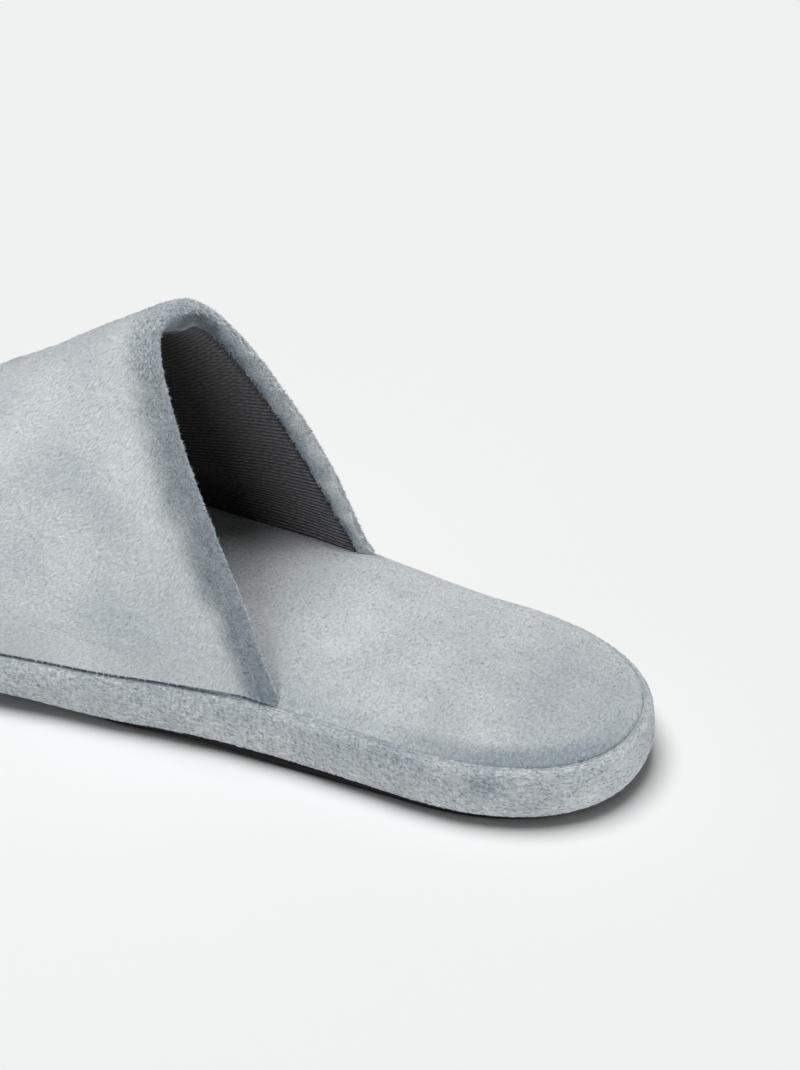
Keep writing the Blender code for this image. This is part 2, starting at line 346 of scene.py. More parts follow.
def mesh_object(name, points, quads, triangles):
    """Put points and faces into a new mesh object, smooth shaded, and link it to the scene."""
    mesh = bpy.data.meshes.new(name)
    corners = np.concatenate([quads.ravel(), triangles.ravel()]).astype(np.int32)
    sizes = np.concatenate([np.full(len(quads), 4), np.full(len(triangles), 3)]).astype(np.int32)
    mesh.vertices.add(len(points))
    mesh.vertices.foreach_set("co", points.astype(np.float32).ravel())
    mesh.loops.add(len(corners))
    mesh.loops.foreach_set("vertex_index", corners)
    mesh.polygons.add(len(sizes))
    mesh.polygons.foreach_set("loop_start", (np.cumsum(sizes) - sizes).astype(np.int32))
    mesh.update(calc_edges=True)
    mesh.validate()
    mesh.shade_smooth()
    thing = bpy.data.objects.new(name, mesh)
    bpy.context.scene.collection.objects.link(thing)
    return thing


def store(thing, name, values, kind="FLOAT"):
    """Keep one number or vector for each vertex under a name that a material can read."""
    layer = thing.data.attributes.new(name, kind, "POINT")
    field = "value" if kind == "FLOAT" else "vector"
    layer.data.foreach_set(field, np.asarray(values, np.float32).ravel())


def arc_lengths(points, axis):
    """Distance travelled along one axis of a grid, starting from zero."""
    steps = np.linalg.norm(np.diff(points, axis=axis), axis=-1)
    start = np.zeros_like(np.take(steps, [0], axis=axis))
    return np.concatenate([start, np.cumsum(steps, axis=axis)], axis=axis)


def there_and_back(outer, inner):
    """Rows of outer values, each followed by its inner values in reverse, as a closed ring runs."""
    return np.concatenate([outer, inner[:, ::-1]], axis=1)


def ring_loft(name, rings, caps):
    """Close a stack of rings (ring, point, xyz in mm) into one body, with its faces turned outwards."""
    layers, count, _ = rings.shape
    i, j = np.meshgrid(np.arange(layers - 1), np.arange(count), indexing="ij")
    k = (j + 1) % count
    sides = np.stack([i * count + j, i * count + k, (i + 1) * count + k, (i + 1) * count + j], axis=-1)
    strips, tips = caps(count)
    end = (layers - 1) * count
    quads = np.concatenate([sides.reshape(-1, 4), strips[:, ::-1], strips + end])
    triangles = np.concatenate([tips[:, ::-1], tips + end])
    points = to_world(rings.reshape(-1, 3))
    corners = points[quads] - points.mean(axis=0)
    twice_area = np.cross(corners[:, 2] - corners[:, 0], corners[:, 3] - corners[:, 1])
    if (corners.mean(axis=1) * twice_area).sum() < 0:
        quads = quads[:, ::-1]
        triangles = triangles[:, ::-1]
    thing = mesh_object(name, points, quads, triangles)
    print(name, "has", 2 * len(quads) + len(triangles), "triangles")
    return thing


def soft_noise(points, strength, size, seed):
    """Smooth lumps of about one size and strength: a few sine waves in fixed random directions, averaged."""
    draw = np.random.default_rng(seed)
    directions = unit(draw.normal(size=(NOISE_WAVES, 3))) * (2 * np.pi / size)
    directions *= draw.uniform(*NOISE_SPREAD, size=(NOISE_WAVES, 1))
    phases = draw.uniform(0.0, 2 * np.pi, size=NOISE_WAVES)
    waves = np.sin(points @ directions.T + phases).mean(axis=-1)
    return strength * waves * math.sqrt(2 * NOISE_WAVES) / 2


def grid_normals(points):
    """Normals of a grid of points from its differences along and across."""
    return unit(np.cross(np.gradient(points, axis=0), np.gradient(points, axis=1)))


# %% [markdown]
# ## Velour
# Velour is a knit with a short, dense pile that leans one way.  Where it leans to the eye it looks dark,
# and where it leans away it looks pale, so it has clouds of tone, a grain of small strokes, and a sheen at
# grazing angles.  A flat colour with one noise would look like felt.  This material layers clouds, strokes,
# fine grain and, on the wrap, faint ribs, and takes from values stored on the mesh the places of darker nap
# and of painted shade and painted light.

# %% Shader helpers
def add_node(tree, kind, inputs=None, **settings):
    """Add a shader node, set its fields and plug in or set its inputs by name or number."""
    node = tree.nodes.new(kind)
    for key, value in settings.items():
        setattr(node, key, value)
    for key, value in (inputs or {}).items():
        if isinstance(value, bpy.types.NodeSocket):
            tree.links.new(value, node.inputs[key])
        else:
            node.inputs[key].default_value = value
    return node


def cloth_noise(tree, where, stretch, size, detail=2.0, turn=0.0):
    """A noise whose blobs are size metres across, stretched along the cloth map's axes."""
    scale = tuple(1.0 / (size * s) for s in stretch)
    turned = {"Vector": where, "Rotation": (0.0, 0.0, turn), "Scale": scale}
    place = add_node(tree, "ShaderNodeMapping", turned).outputs[0]
    noise = add_node(tree, "ShaderNodeTexNoise", {"Vector": place, "Scale": 1.0, "Detail": detail})
    return noise.outputs["Fac"]


def blend_colors(tree, factor, first, second, mode="MIX"):
    """Mix two colours by a factor, in one of the mixer's modes."""
    inputs = {0: factor, 6: first, 7: second}
    mix = add_node(tree, "ShaderNodeMix", inputs, data_type="RGBA", blend_type=mode)
    return mix.outputs[2]


def times(tree, color, factor):
    """A colour multiplied by a factor."""
    return blend_colors(tree, 1.0, color, factor, "MULTIPLY")


def spread(tree, value, low, high, out_low=0.0, out_high=1.0):
    """Stretch a value's range from low and high to out_low and out_high."""
    node = add_node(tree, "ShaderNodeMapRange", {0: value, 1: low, 2: high, 3: out_low, 4: out_high})
    return node.outputs[0]


def attribute(tree, name, output="Fac"):
    """Read a value stored on the mesh, or a vector."""
    return add_node(tree, "ShaderNodeAttribute", attribute_name=name).outputs[output]


def plain_shader(name, roughness):
    """A new material with its shader at one roughness."""
    material = bpy.data.materials.new(name)
    material.use_nodes = True
    shader = material.node_tree.nodes["Principled BSDF"]
    shader.inputs["Roughness"].default_value = roughness
    return material, material.node_tree, shader


def surface(tree, shader, color, height, bump, specular):
    """Plug a colour and a bump of strength and depth into a shader, and set how much it glints."""
    tree.links.new(color, shader.inputs["Base Color"])
    relief = add_node(tree, "ShaderNodeBump", {"Strength": bump[0], "Distance": bump[1], "Height": height})
    tree.links.new(relief.outputs[0], shader.inputs["Normal"])
    shader.inputs["Specular IOR Level"].default_value = specular


# %% Velour material
VELOUR_ROUGHNESS = 0.95
VELOUR_SPECULAR = 0.10
VELOUR_SHEEN = 0.48
VELOUR_SHEEN_ROUGHNESS = 0.45
VELOUR_SHEEN_TINT = (0.94, 0.97, 1.0, 1.0)
PALE_VELOUR = (0.585, 0.615, 0.625, 1.0)
MID_VELOUR = (0.492, 0.525, 0.540, 1.0)
DARK_VELOUR = (0.225, 0.275, 0.318, 1.0)
INSOLE_DARK_VELOUR = (0.228, 0.264, 0.290, 1.0)
# Painted shade and light along a tuft: the root darker, the tip paler.
PAINTED_ROOT_SHADE = 0.40
PAINTED_TIP_LIGHT = 1.24
EVEN = (1.0, 1.0, 1.0)
CLOUD_DETAIL = 3.0
CLOUD_RANGE = (0.32, 0.70)
STROKE_RANGE = (0.30, 0.70)
STROKE_MEAN = 0.98
FINE_GRAIN = 0.45
FINE_DETAIL = 1.0
WRAP_RIB_WAVER = {"Distortion": 6.0, "Detail": 2.0, "Detail Scale": 1.0}
WRAP_RIB_TONES = (0.91, 1.05)

# A row for each cloth: size, stretch and turn of its strokes, size of its clouds, depth of its bump,
# contrast of its strokes, distance from rib to rib (0 for no ribs), and the colour of its dark nap.  Sizes
# are in metres.
VELOUR_COLUMNS = ("grain", "stretch", "turn", "cloud", "bump", "contrast", "rib", "dark")
UPPER_CLOTH = (0.0006, (2.2, 0.9, 1.0), 0.6, 0.030, 0.0005, 0.21, 0.0, DARK_VELOUR)
WRAP_CLOTH = (0.0010, (2.0, 0.8, 1.0), 0.5, 0.018, 0.0007, 0.24, 0.0014, DARK_VELOUR)
INSOLE_CLOTH = (0.0007, (1.8, 0.9, 1.0), 0.2, 0.028, 0.0004, 0.20, 0.0, INSOLE_DARK_VELOUR)


def velour(name, row):
    """Velour from clouds of nap, a darker nap, short strokes, painted shade and light along a tuft, and
    ribs.
    """
    material, tree, shader = plain_shader(name, VELOUR_ROUGHNESS)
    cloth = dict(zip(VELOUR_COLUMNS, row))
    where = attribute(tree, "cloth", "Vector")
    body = add_node(tree, "ShaderNodeTexCoord").outputs["Object"]
    clouds = cloth_noise(tree, body, EVEN, cloth["cloud"], CLOUD_DETAIL)
    strokes = cloth_noise(tree, where, cloth["stretch"], cloth["grain"], turn=cloth["turn"])
    fine = cloth_noise(tree, where, EVEN, cloth["grain"] * FINE_GRAIN, FINE_DETAIL)
    tone = blend_colors(tree, spread(tree, clouds, *CLOUD_RANGE), PALE_VELOUR, MID_VELOUR)
    tone = blend_colors(tree, attribute(tree, "dark_nap"), tone, cloth["dark"])
    stroke_tones = (STROKE_MEAN - cloth["contrast"], STROKE_MEAN + cloth["contrast"])
    tone = times(tree, tone, spread(tree, strokes, *STROKE_RANGE, *stroke_tones))
    # Painted shade at the root of each tuft and painted light at its tip.
    lit = spread(tree, attribute(tree, "tuft"), 0.0, 1.0, PAINTED_ROOT_SHADE, PAINTED_TIP_LIGHT)
    tone = times(tree, tone, lit)
    if cloth["rib"]:
        wave_scale = math.pi / (10 * cloth["rib"])
        ribs = add_node(tree, "ShaderNodeTexWave", {"Vector": where, "Scale": wave_scale, **WRAP_RIB_WAVER})
        tone = times(tree, tone, spread(tree, ribs.outputs["Fac"], 0.0, 1.0, *WRAP_RIB_TONES))
    height = add_node(tree, "ShaderNodeMath", {0: strokes, 1: fine}, operation="ADD").outputs[0]
    surface(tree, shader, tone, height, (1.0, cloth["bump"]), VELOUR_SPECULAR)
    shader.inputs["Sheen Weight"].default_value = VELOUR_SHEEN
    shader.inputs["Sheen Roughness"].default_value = VELOUR_SHEEN_ROUGHNESS
    shader.inputs["Sheen Tint"].default_value = VELOUR_SHEEN_TINT
    return material


upper_velour = velour("upper_velour_nap", UPPER_CLOTH)
wrap_velour = velour("wrap_velour_nap", WRAP_CLOTH)
insole_velour = velour("insole_velour_nap", INSOLE_CLOTH)
print("velours:", upper_velour.name, wrap_velour.name, insole_velour.name)

# %% [markdown]
# ## Pile
# Bump can shade a surface, but it leaves the outline smooth as plastic.  The pile of velour shows best
# where it stands up against the light: along the collar, the seams and the lower edge.  Hair particles
# could do it, but they don't export.  Here each tuft is one closed tetrahedron, three points of a foot just
# under the cloth and a tip that leans over it, and thousands of them are joined in one mesh.

# %% Scatter tufts on a grid
def scatter(fields, density, count, seed):
    """Draw places on a grid: a cell by its area times density, then a random spot by bilinear mixing."""
    points = fields["points"]
    edges = np.cross(points[1:, :-1] - points[:-1, :-1], points[:-1, 1:] - points[:-1, :-1])
    weight = np.cumsum(np.linalg.norm(edges, axis=-1) * density[:-1, :-1])
    draw = np.random.default_rng(seed)
    cell = np.searchsorted(weight, draw.uniform(0.0, weight[-1], count))
    i, j = np.unravel_index(cell, edges.shape[:2])
    u, v = draw.uniform(size=(2, count, 1))
    spots = {}
    for name, field in fields.items():
        low = field[i, j] * (1 - u) + field[i + 1, j] * u
        high = field[i, j + 1] * (1 - u) + field[i + 1, j + 1] * u
        spots[name] = low * (1 - v) + high * v
    return spots, draw


# %% Build the tufts of one piece
PILE_COLUMNS = ("count", "seed", "length", "width", "height", "wander", "normal_tilt", "clump", "shade")
ROOT_DEPTH = 0.12
HUMP_HEIGHT = 0.4
TUFT_SPREAD = 0.45
CLUMP_TURN = 0.35
CLUMP_SHADE = 0.07
CLUMP_SEEDS = (61, 62)
# Painted shade and light along a tuft: its foot darker, its tip paler, also in its nap.
PAINTED_PALER_TIP_NAP = 0.75
ROOT_TO_TIP_PAINTED_SHADE = np.array([0.60, 0.60, 0.75, 0.90])
DARK_TUFT_POWER = 4.0
# Painted shade in folds and grooves, for darkness past full nap.
PAINTED_DEEP_SHADE = 0.9
GROUND_TUFT = 0.68


def painted_deep_shade(dark):
    """Painted shade in folds and grooves, where the stored darkness runs past full nap: a share of the
    excess.
    """
    return PAINTED_DEEP_SHADE * np.clip(dark - 1.0, 0.0, 1.0)


def wear(thing, material, dark, cloth):
    """Give a body its velour: darker nap, its ground's tone less painted deep shade, and its cloth map."""
    store(thing, "dark_nap", dark)
    store(thing, "tuft", GROUND_TUFT - painted_deep_shade(dark))
    store(thing, "cloth", cloth, "FLOAT_VECTOR")
    thing.data.materials.append(material)


def pile(name, material, fields, density, row):
    """Tetrahedra on scattered spots: a foot across the lean, a hump behind it and a tip along the lean."""
    size = dict(zip(PILE_COLUMNS, row))
    count = size["count"]
    spots, draw = scatter(fields, density, count, size["seed"])
    root = spots["points"]
    normal = unit(spots["normals"])
    lean = unit(spots["lean"]) + size["wander"] * draw.normal(size=(count, 3))
    clump_turn = soft_noise(root, CLUMP_TURN, size["clump"], CLUMP_SEEDS[0])[:, None]
    clump_shade = soft_noise(root, CLUMP_SHADE, size["clump"], CLUMP_SEEDS[1])[:, None]
    lean = lean + clump_turn * np.cross(normal, lean)
    lean = unit(lean - (lean * normal).sum(axis=1, keepdims=True) * normal)
    side = np.cross(normal, lean)
    vary = draw.uniform(1 - TUFT_SPREAD, 1 + TUFT_SPREAD, size=(3, count, 1)) * spots.get("scale", 1.0)
    half = side * size["width"] * vary[0] / 2
    rise = normal * size["height"] * vary[1]
    tip = root + lean * size["length"] * vary[2] + rise
    behind = root - lean * size["width"] / 2 + rise * HUMP_HEIGHT
    sunk = root - normal * ROOT_DEPTH
    points = np.stack([sunk + half, sunk - half, behind, tip], axis=1)
    corners = np.array([[0, 3, 1], [0, 1, 2], [0, 2, 3], [1, 3, 2]])
    faces = (np.arange(count)[:, None, None] * 4 + corners).reshape(-1, 3)
    thing = mesh_object(name, to_world(points.reshape(-1, 3)), np.empty((0, 4), int), faces)
    bent = normal[:, None] + size["normal_tilt"] * np.stack([side, -side, -lean, lean], axis=1)
    thing.data.normals_split_custom_set_from_vertices(unit(bent).reshape(-1, 3))
    # Tuft tone: painted shade at the foot, painted light at the tip, random darker tufts, clumps, less
    # painted deep shade.
    shade = ROOT_TO_TIP_PAINTED_SHADE - size["shade"] * draw.uniform(size=(count, 1)) ** DARK_TUFT_POWER
    shade = shade + clump_shade - painted_deep_shade(spots["dark"])
    store(thing, "tuft", np.clip(shade, 0.0, 1.0))
    # The tip's nap is paler: painted light.
    store(thing, "dark_nap", spots["dark"] * np.array([1.0, 1.0, 1.0, PAINTED_PALER_TIP_NAP]))
    store(thing, "cloth", np.repeat(spots["cloth"], 4, axis=0), "FLOAT_VECTOR")
    thing.data.materials.append(material)
    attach(thing, "root")
    print(name, "has", len(faces), "triangles")


# %% [markdown]
# ## The upper
# The real upper is one panel of velour over thin foam, turned in at the collar and sewn to the lining.  A
# cloth simulation could inflate it, but the foam holds the velour tight, so the solid's own formula is
# sampled finely and moved a little: the velour bends over towards the collar, soft troughs and lumps lie
# where the photo shows them, the inner foot lifts near the collar, and the turned edge is a half-round
# roll.

# %% Soft marks
# Soft ovals share one table form: middle and reach along a piece, middle and reach across it, and strength.
MARK_COLUMNS = ("along", "along_reach", "across", "across_reach", "strength")


def soft_marks(rows, along, across):
    """Sum of soft ovals: strength times exp of minus the squared distances along and across."""
    total = np.zeros(np.broadcast(along, across).shape)
    for row in rows:
        mark = dict(zip(MARK_COLUMNS, row))
        step_along = (along - mark["along"]) / mark["along_reach"]
        step_across = (across - mark["across"]) / mark["across_reach"]
        total += mark["strength"] * np.exp(-(step_along**2) - step_across**2)
    return total


# %% Faces of the upper
COLLAR_BEND_WIDTH = 12.0
COLLAR_BEND_DEPTH = 1.7
UPPER_LUMPS = (0.35, 34.0, 3)
UPPER_CLUMPS = (0.16, 5.0, 4)
OUTER_SWELL = 1.0
OUTER_SWELL_REACH = 45.0
FOOT_STILL_HEIGHT = 6.0
FOOT_LIFT = 2.0
FOOT_LIFT_ALONG = 16.0
FOOT_LIFT_HEIGHT = 18.0
ARCH_POINTS = 200
COLLAR_FINE_MM = 14.0
COLLAR_ROWS = 18
BODY_ROWS = 78

# Troughs of the vamp: millimetres from the collar along it, shares of the arch across it, millimetres deep.
TROUGH_ROWS = (
    (16.0, 14.0, 0.60, 0.19, 0.5),
    (44.0, 10.0, 0.57, 0.14, 0.5),
    (70.0, 12.0, 0.66, 0.13, 0.4),
    (60.0, 12.0, 0.36, 0.16, 0.4),
)

collar_stations = np.linspace(0.0, COLLAR_FINE_MM, COLLAR_ROWS) / MM_PER_STATION
body_stations = np.linspace(collar_stations[-1], 1.0, BODY_ROWS + 1)[1:]
station_values = np.concatenate([collar_stations, body_stations])
station_grid, angle_grid = np.meshgrid(station_values, np.linspace(0.0, np.pi, ARCH_POINTS), indexing="ij")


def upper_faces(station, angle):
    """Outer and inner face of the dressed upper, its wall normal, way back, and distances along and over.

    The inner face lies a wall's thickness inside, thicker in a fold at the crest.  The outer face is moved
    by lumps and a swell, less the bend at the collar.  Both lift at the inner foot, the inner half as far.
    """
    outside = upper_outside(station, angle)
    normal, back = upper_directions(station, angle)
    along = arc_lengths(outside, 0)
    over = arc_lengths(outside, 1)
    height = outside[..., 2] - UPPER_FOOT_Z - floor_rise(outside[..., 1])
    off_foot = ease(height, 0.0, FOOT_BLEND_HEIGHT)
    whole = np.ones_like(off_foot)
    wall_normal = unit(normal * np.stack([whole, whole, off_foot], axis=-1))
    facing = ease(station * MM_PER_STATION, FACING_START, FACING_END)
    thick = COLLAR_THICK + (WALL_THICK - COLLAR_THICK) * facing
    fold = bell(angle, FOLD_ANGLE, FOLD_REACH) * bell(along, 0.0, FOLD_ALONG)
    thick = thick + FOLD_THICK * fold
    inside = outside - thick[..., None] * wall_normal
    inside[..., 2] += FOOT_STRIP_SLOPE * thick * (1 - off_foot)
    bend = COLLAR_BEND_DEPTH * np.clip(1 - along / COLLAR_BEND_WIDTH, 0.0, 1.0) ** 2
    lump = soft_noise(outside, *UPPER_LUMPS) + soft_noise(outside, *UPPER_CLUMPS)
    lump = lump - soft_marks(TROUGH_ROWS, along, over / over[:, -1:])
    swell = OUTER_SWELL * np.sin(np.clip(2 * angle, 0.0, np.pi)) * bell(along, 0.0, OUTER_SWELL_REACH)
    push = (lump + swell - bend) * ease(height, 0.0, FOOT_STILL_HEIGHT)
    lift = FOOT_LIFT * (angle > np.pi / 2) * bell(along, 0.0, FOOT_LIFT_ALONG)
    lift = lift * (1 - ease(height, 0.0, FOOT_LIFT_HEIGHT))
    lift = lift[..., None] * np.array([0.0, 0.0, 1.0])
    return outside + push[..., None] * wall_normal + lift, inside + lift / 2, wall_normal, back, along, over


outside, inside, outward, back, along, over = upper_faces(station_grid, angle_grid)
print("collar", round(over[0, -1], 1), "mm over, crest", round(along[-1, ARCH_POINTS // 2], 1), "mm long")

# %% Upper shell
ROLL_ROWS = 10
ROLL_TIP = 86.0
ROLL_REACH = 2.7
ROLL_MORE_AT_OUTER_FOOT = 1.5
ROLL_MORE_AT_INNER_FOOT = 3.2
ROLL_END_CUT = 0.9
ROLL_END = (0.90, 1.0)

roll_angles = np.radians(np.linspace(ROLL_TIP, ROLL_TIP / ROLL_ROWS, ROLL_ROWS))[:, None, None]
roll_middle = (outside[0] + inside[0]) / 2
roll_half = (outside[0] - inside[0]) / 2
collar_across = np.cos(angle_grid[0])
more_at_foot = np.where(collar_across > 0, ROLL_MORE_AT_OUTER_FOOT, ROLL_MORE_AT_INNER_FOOT)
more_at_foot = more_at_foot * (1 - ROLL_END_CUT * ease(np.abs(collar_across), *ROLL_END))
reach = ROLL_REACH + more_at_foot * collar_across**2
roll_reach = np.sin(roll_angles) * reach[:, None] * back[0]
roll_outer = roll_middle + roll_reach + np.cos(roll_angles) * roll_half
roll_inner = roll_middle + roll_reach - np.cos(roll_angles) * roll_half
outer_sheet = np.concatenate([roll_outer, outside])
inner_sheet = np.concatenate([roll_inner, inside])
upper = ring_loft("upper_velour_shell", there_and_back(outer_sheet, inner_sheet), across_wall)

# %% [markdown]
# ## The nap of the upper
# In the photo a dark band follows the collar, because the pile leans to the eye there, and paler and darker
# clouds lie on the vamp where a hand has brushed it.  The band could be a second material, but its edge is
# soft and wavers, so it is a value stored at each point.  The same values carry painted light on the rim and
# the roll's tip, and painted shade in the fold at the crest and inside the roll.

# %% Nap of the upper
BAND_WIDTH = 6.0
BAND_NARROWER_AT_FEET = 3.2
BAND_FADE = 4.0
BAND_WOBBLE = (2.2, 13.0, 21)
BAND_STRENGTH = 0.44
BAND_DARKER_AT_FEET = 0.50
BAND_MOTTLE = (0.12, 9.0, 22)
# The rim: paler from painted light on the pile tips, more on the far side as painted sheen, darker at the
# crest.
RIM_ALONG = (-4.0, 2.0)
RIM_PAINTED_LIGHT = 0.10
CREST_RIM_DARKER = 0.60
CREST_RIM_POWER = 6
FAR_RIM_PAINTED_SHEEN = 0.80
FAR_RIM_ACROSS = (0.1, 0.5)
VAMP_NAP = 0.10
VAMP_NAP_NOISE = (0.11, 24.0, 23)
# Facing: dark nap, with painted shade past full darkness and painted light towards the roll's tip.
FACING_NAP = 1.12
FACING_NAP_NOISE = (0.25, 7.0, 24)
FACING_PAINTED_LIGHT_AT_TIP = 0.60
FACING_PAINTED_LIGHT_AT_FEET = 0.50
# Painted shade of the fold at the crest, on the inside of the roll and the facing.
PAINTED_CREST_SHADE = 2.00
CREST_SHADE_ANGLE = 1.36
CREST_SHADE_REACH = 0.22
CREST_SHADE_POWER = 0.25

# Brushed places of the vamp: millimetres from the collar, shares of the arch, and darker or paler.
VAMP_NAP_ROWS = (
    (28.6, 9.0, 0.703, 0.050, 0.22),
    (20.0, 7.0, 0.560, 0.040, 0.22),
    (22.0, 8.0, 0.760, 0.060, 0.14),
    # Brushed nap, deepened as painted shade on the low vamp by the inner foot.
    (30.0, 16.0, 0.900, 0.060, 0.26),
    (56.0, 12.0, 0.820, 0.060, 0.10),
    (34.0, 10.0, 0.610, 0.045, -0.12),
    (14.0, 5.0, 0.720, 0.070, -0.14),
    (30.0, 12.0, 0.300, 0.070, 0.20),
    (60.0, 14.0, 0.420, 0.060, 0.16),
    (95.0, 14.0, 0.600, 0.080, 0.16),
)


def outer_nap(points, from_collar, angle, share):
    """Nap darkness: a wavering band along the collar, a rim paler with painted light, and brushed clouds
    past it.
    """
    width = BAND_WIDTH - BAND_NARROWER_AT_FEET * np.abs(np.cos(angle))
    wavering = from_collar + soft_noise(points, *BAND_WOBBLE)
    band = 1 - ease(wavering, width - BAND_FADE, width + BAND_FADE)
    on_rim = 1 - ease(from_collar, *RIM_ALONG)
    far = FAR_RIM_PAINTED_SHEEN * ease(np.cos(angle), *FAR_RIM_ACROSS)
    rim = 1 + on_rim * (CREST_RIM_DARKER * np.sin(angle) ** CREST_RIM_POWER - RIM_PAINTED_LIGHT - far)
    strength = BAND_STRENGTH + BAND_DARKER_AT_FEET * np.cos(angle) ** 2
    dark = strength * rim * (1 + soft_noise(points, *BAND_MOTTLE))
    brushed = VAMP_NAP + soft_noise(points, *VAMP_NAP_NOISE) + soft_marks(VAMP_NAP_ROWS, from_collar, share)
    return np.clip(band * dark + (1 - band) * brushed, 0.0, 1.0)


roll_along = -roll_angles[:, 0] * np.linalg.norm(roll_half, axis=-1)
outer_along = np.concatenate([roll_along, along])
sheet_over = np.concatenate([np.repeat(over[:1], ROLL_ROWS, axis=0), over])
sheet_angle = np.concatenate([np.repeat(angle_grid[:1], ROLL_ROWS, axis=0), angle_grid])
dark_outer = outer_nap(outer_sheet, outer_along, sheet_angle, sheet_over / sheet_over[:, -1:])
# Painted shade inside the roll, and painted light towards its tip.
dark_inner = FACING_NAP + soft_noise(inner_sheet, *FACING_NAP_NOISE)
facing_painted_light = FACING_PAINTED_LIGHT_AT_TIP + FACING_PAINTED_LIGHT_AT_FEET * np.abs(collar_across)
dark_inner[:ROLL_ROWS] -= facing_painted_light * np.sin(roll_angles[..., 0])
# Painted shade under the fold at the crest.
painted_crest_shade = PAINTED_CREST_SHADE * bell(angle_grid[0], CREST_SHADE_ANGLE, CREST_SHADE_REACH)
dark_inner[:ROLL_ROWS] += painted_crest_shade * np.cos(roll_angles[..., 0]) ** CREST_SHADE_POWER
dark_inner[ROLL_ROWS:] += painted_crest_shade
upper_dark = there_and_back(dark_outer, dark_inner)
outer_map = np.dstack([outer_along, sheet_over, np.zeros_like(sheet_over)]) * MM
wear(upper, upper_velour, upper_dark, there_and_back(outer_map, outer_map))
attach(upper, "root")
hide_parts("upper")
print("darkness of the upper's nap:", round(upper_dark.mean(), 2), "on average")

# %% Pile of the vamp
VAMP_PILE = (47000, 41, 0.80, 0.24, 0.18, 0.25, 0.40, 2.0, 0.60)
VAMP_LEAN_FORWARD = 0.8
VAMP_LEAN_DOWN = 0.9
VAMP_THINNED = 0.5
VAMP_THINNED_ALONG = (70.0, 110.0)
SWIRL = (0.3, 7.0, 31)

over_way = unit(np.gradient(outside, axis=1))
sideways = soft_noise(outside, *SWIRL) - VAMP_LEAN_DOWN * np.cos(angle_grid)
vamp_fields = {
    "points": outside,
    "normals": outward,
    "lean": -VAMP_LEAN_FORWARD * back + sideways[..., None] * over_way,
    "dark": dark_outer[ROLL_ROWS:, :, None],
    "cloth": outer_map[ROLL_ROWS:],
}
vamp_density = 1 - VAMP_THINNED * ease(along, *VAMP_THINNED_ALONG)
pile("upper_vamp_pile", upper_velour, vamp_fields, vamp_density, VAMP_PILE)

# %% Pile of the collar
COLLAR_PILE = (46000, 43, 0.95, 0.17, 0.62, 0.9, 0.55, 2.2, 0.95)
COLLAR_PILE_ALONG = (0.5, 10.0)
FACING_ROWS = 2
FACING_TUFT_SIZE = 0.55
VAMP_TUFT_SMALLER = 0.6
VAMP_TUFT_ALONG = (0.0, 8.0)
FAR_FUZZ = 0.60
FAR_FUZZ_ACROSS = (-0.1, 0.3)

inner_rows = ROLL_ROWS + FACING_ROWS
outer_rows = ROLL_ROWS + COLLAR_ROWS
collar_points = np.concatenate([inner_sheet[:inner_rows][::-1], outer_sheet[:outer_rows]])
collar_normals = grid_normals(collar_points)
collar_normals *= np.sign((collar_normals[-1] * outward[COLLAR_ROWS - 1]).sum())
collar_along = np.concatenate([np.zeros((inner_rows, ARCH_POINTS)), outer_along[:outer_rows]])
collar_dark = np.concatenate([dark_inner[:inner_rows][::-1], dark_outer[:outer_rows]])
collar_over = np.repeat(over[:1], len(collar_points), axis=0)
collar_map = np.dstack([arc_lengths(collar_points, 0), collar_over, np.zeros_like(collar_over)])
collar_size = np.where(np.arange(len(collar_points)) < inner_rows, FACING_TUFT_SIZE, 1.0)[:, None]
collar_size = collar_size * (1 + FAR_FUZZ * ease(collar_across, *FAR_FUZZ_ACROSS))
collar_size = collar_size * (1 - VAMP_TUFT_SMALLER * ease(collar_along, *VAMP_TUFT_ALONG))
collar_fields = {
    "points": collar_points,
    "normals": collar_normals,
    "lean": np.broadcast_to(back[0], collar_points.shape),
    "dark": collar_dark[..., None],
    "cloth": collar_map * MM,
    "scale": collar_size[..., None],
}
collar_density = 1 - ease(collar_along, *COLLAR_PILE_ALONG)
pile("upper_collar_pile", upper_velour, collar_fields, collar_density, COLLAR_PILE)

# %% [markdown]
# ## The lining
# Inside, a charcoal rib knit covers the foam.  Its ribs run along the foot and are stacked up the wall.
# Bump alone would vanish at the grazing angle of the photo, so each rib is real: the inner face moved by a
# wave along its height.

# %% Lining
RIB_PITCH = 1.45
RIB_HEIGHT = 0.36
RIB_FULLNESS = 0.7
LINING_LIFT = 0.12
LINING_THICK = 0.5
LINING_END_STATION = 0.99
LINING_POINTS = 720
LINING_ROWS = 28
LINING_ROW_POWER = 1.6
RIB_FADE = 2.0

lining_stations = LINING_END_STATION * np.linspace(0.0, 1.0, LINING_ROWS) ** LINING_ROW_POWER
lining_grid = np.meshgrid(lining_stations, np.linspace(0.0, np.pi, LINING_POINTS), indexing="ij")
_, wall_face, wall_out, _, _, _ = upper_faces(*lining_grid)
height_on_wall = arc_lengths(wall_face, 1)
rib_wave = 0.5 + 0.5 * np.cos(2 * np.pi * height_on_wall / RIB_PITCH)
rib_wave = rib_wave * ease(arc_lengths(wall_face, 0), 0.0, RIB_FADE)
rib_lift = LINING_LIFT + RIB_HEIGHT * rib_wave**RIB_FULLNESS
lining_front = wall_face - rib_lift[..., None] * wall_out
lining_back = wall_face + LINING_THICK * wall_out
lining = ring_loft("upper_lining", there_and_back(lining_back, lining_front), across_wall)

